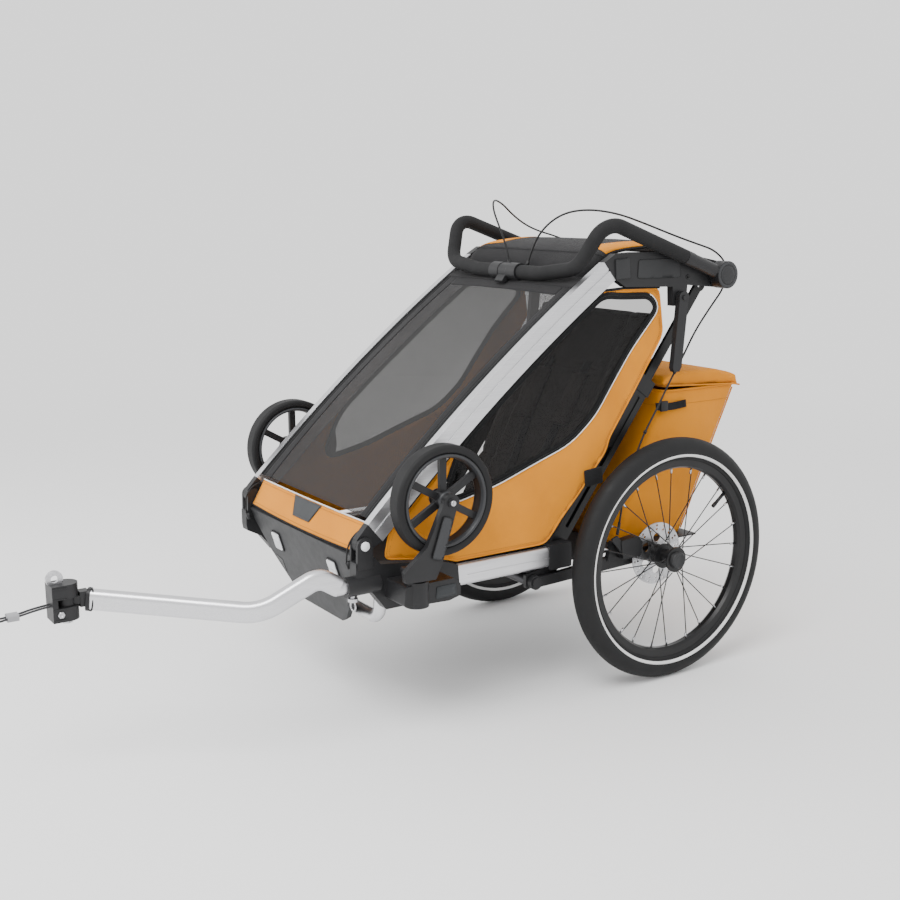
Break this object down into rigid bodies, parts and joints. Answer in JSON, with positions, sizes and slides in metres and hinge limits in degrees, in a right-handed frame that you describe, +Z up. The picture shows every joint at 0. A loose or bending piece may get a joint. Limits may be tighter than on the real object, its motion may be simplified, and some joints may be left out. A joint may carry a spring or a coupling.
{
  "type": "child bicycle trailer",
  "caption": "Folding child trailer with arched side rails, mesh front cover, fabric sides, spoked rear wheels, stowed stroller wheels, flipped handlebar and a curved hitch arm.",
  "frame": {"origin": "on the ground under the middle of the object's box, tether left out", "axes": "+Z up, front of the trailer towards -Y, the trailer's left side towards +X"},
  "size_m": [0.664, 1.6232, 0.97],
  "materials": {
    "bright_aluminium": "satin",
    "black_plastic": "satin",
    "charcoal_plastic": "matte",
    "black_metal": "satin",
    "bright_steel": "satin",
    "tyre_rubber": "matte",
    "grip_foam": "matte",
    "cable_black": "satin",
    "tether_cord": "matte",
    "orange_fabric": "matte",
    "charcoal_fabric": "matte",
    "tinted_window": "gloss",
    "reflector_white": "gloss"
  },
  "bodies": {
    "base": {"lower_side_tubes": "bright_aluminium", "front_casting_left": "black_plastic", "front_casting_right": "black_plastic", "rear_fittings": "black_plastic", "rear_crossmember": "black_metal", "front_tube": "bright_aluminium", "bumper_shell": "charcoal_plastic", "front_reflectors": "reflector_white", "front_strip": "orange_fabric", "floor_pan": "charcoal_plastic", "seat_base": "charcoal_fabric", "seat_back": "charcoal_fabric", "harness": "charcoal_fabric", "side_panels": "orange_fabric", "side_windows": "tinted_window", "cargo_bag": "orange_fabric", "hitch_arm": "bright_aluminium", "hitch_neck": "black_plastic", "hitch_bolt": "bright_steel", "brake_cable_left": "cable_black", "brake_cable_right": "cable_black"},
    "bag_lid": {"bag_lid": "orange_fabric"},
    "hitch_pin": {"hitch_pin": "bright_steel"},
    "hitch_head": {"hitch_head": "black_plastic", "axle_eyelet": "bright_steel", "safety_tether": "tether_cord", "cord_lock": "black_plastic"},
    "swing_left": {"swing_arm_left": "black_plastic", "caliper_left": "black_plastic"},
    "swing_right": {"swing_arm_right": "black_plastic", "caliper_right": "black_plastic"},
    "rear_wheel_left": {"rear_tyre_left": "tyre_rubber", "rear_rim_left": "black_metal", "rear_hub_left": "black_metal", "rotor_left": "bright_steel"},
    "rear_wheel_right": {"rear_tyre_right": "tyre_rubber", "rear_rim_right": "black_metal", "rear_hub_right": "black_metal", "rotor_right": "bright_steel"},
    "fork_left": {"fork_left": "black_plastic"},
    "fork_right": {"fork_right": "black_plastic"},
    "front_wheel_left": {"front_rim_left": "black_plastic", "front_tyre_left": "tyre_rubber"},
    "front_wheel_right": {"front_rim_right": "black_plastic", "front_tyre_right": "tyre_rubber"},
    "upper_frame": {"side_rails": "bright_aluminium", "rail_shoes": "black_plastic", "corner_castings": "black_plastic", "top_crossmember": "black_metal", "roof": "charcoal_fabric", "front_cover": "charcoal_fabric"},
    "strut_foot": {"strut_tracks": "black_metal"},
    "strut_head": {"strut_rods": "black_metal"},
    "lever_left": {"release_lever_left": "black_plastic"},
    "lever_right": {"release_lever_right": "black_plastic"},
    "handlebar": {"handlebar_tube": "black_metal", "handlebar_foam": "grip_foam", "hub_knobs": "black_plastic", "brake_housing": "black_plastic"},
    "brake_lever": {"brake_lever": "black_plastic"}
  },
  "joints": [
    {"name": "frame_fold", "type": "hinge", "parent": "base", "child": "upper_frame", "pos_m": [0, -0.203, 0.372], "axis": [1, 0, 0], "range_deg": [-32, 0], "deforming": ["side_panels", "side_windows", "seat_back", "harness", "cargo_bag", "bag_lid", "brake_cable_left", "brake_cable_right"]},
    {"name": "strut_swing", "type": "hinge", "parent": "base", "child": "strut_foot", "pos_m": [0, 0.234, 0.281], "axis": [1, 0, 0], "range_deg": [-50, 0]},
    {"name": "strut_slide", "type": "slide", "parent": "strut_foot", "child": "strut_head", "axis": [0, 0.5971, 0.8022], "range_m": [-0.175, 0]},
    {"name": "handlebar_flip", "type": "hinge", "parent": "upper_frame", "child": "handlebar", "pos_m": [0, 0.64212, 0.81768], "axis": [1, 0, 0], "range_deg": [-130, 0], "deforming": ["brake_cable_left", "brake_cable_right"]},
    {"name": "brake_pull", "type": "hinge", "parent": "handlebar", "child": "brake_lever", "pos_m": [0, 0.28012, 0.82468], "axis": [1, 0, 0], "range_deg": [-30, 0], "stiffness_Nm_per_rad": 1, "springref_deg": 20.05},
    {"name": "release_left", "type": "hinge", "parent": "upper_frame", "child": "lever_left", "pos_m": [0.248, 0.53712, 0.77468], "axis": [1, 0, 0], "range_deg": [0, 35]},
    {"name": "release_right", "type": "hinge", "parent": "upper_frame", "child": "lever_right", "pos_m": [-0.248, 0.53712, 0.77468], "axis": [1, 0, 0], "range_deg": [0, 35]},
    {"name": "suspension_left", "type": "hinge", "parent": "base", "child": "swing_left", "pos_m": [0.237, 0.177, 0.236], "axis": [1, 0, 0], "range_deg": [-2.5, 2.5], "stiffness_Nm_per_rad": 1500, "springref_deg": -0.84, "deforming": ["brake_cable_left"]},
    {"name": "suspension_right", "type": "hinge", "parent": "base", "child": "swing_right", "pos_m": [-0.237, 0.177, 0.236], "axis": [1, 0, 0], "range_deg": [-2.5, 2.5], "stiffness_Nm_per_rad": 1500, "springref_deg": -0.84, "deforming": ["brake_cable_right"]},
    {"name": "rear_wheel_left_spin", "type": "hinge", "parent": "swing_left", "child": "rear_wheel_left", "pos_m": [0.2975, 0.477, 0.25], "axis": [1, 0, 0], "continuous": true},
    {"name": "rear_wheel_right_spin", "type": "hinge", "parent": "swing_right", "child": "rear_wheel_right", "pos_m": [-0.2975, 0.477, 0.25], "axis": [1, 0, 0], "continuous": true},
    {"name": "fork_left_swivel", "type": "hinge", "parent": "base", "child": "fork_left", "pos_m": [0.298, -0.13, 0.312], "axis": [0, 0, 1], "range_deg": [-60, 0]},
    {"name": "fork_right_swivel", "type": "hinge", "parent": "base", "child": "fork_right", "pos_m": [-0.298, -0.13, 0.312], "axis": [0, 0, 1], "range_deg": [0, 60]},
    {"name": "front_wheel_left_spin", "type": "hinge", "parent": "fork_left", "child": "front_wheel_left", "pos_m": [0.298, -0.075, 0.4495], "axis": [1, 0, 0], "continuous": true},
    {"name": "front_wheel_right_spin", "type": "hinge", "parent": "fork_right", "child": "front_wheel_right", "pos_m": [-0.298, -0.075, 0.4495], "axis": [1, 0, 0], "continuous": true},
    {"name": "hitch_turn", "type": "hinge", "parent": "base", "child": "hitch_head", "pos_m": [0.075, -0.675, 0.3165], "axis": [0, 0, 1], "range_deg": [-60, 60]},
    {"name": "hitch_pin_pull", "type": "slide", "parent": "base", "child": "hitch_pin", "axis": [0, 0, -1], "range_m": [0, 0.032]},
    {"name": "bag_lid_lift", "type": "hinge", "parent": "base", "child": "bag_lid", "pos_m": [0, 0.539, 0.588], "axis": [1, 0, 0], "range_deg": [0, 80]}
  ],
  "couplings": [
    {"joint": "strut_swing", "follows": "frame_fold", "ratio": 1.55},
    {"joint": "strut_slide", "follows": "frame_fold", "m_per_rad": 0.31}
  ]
}
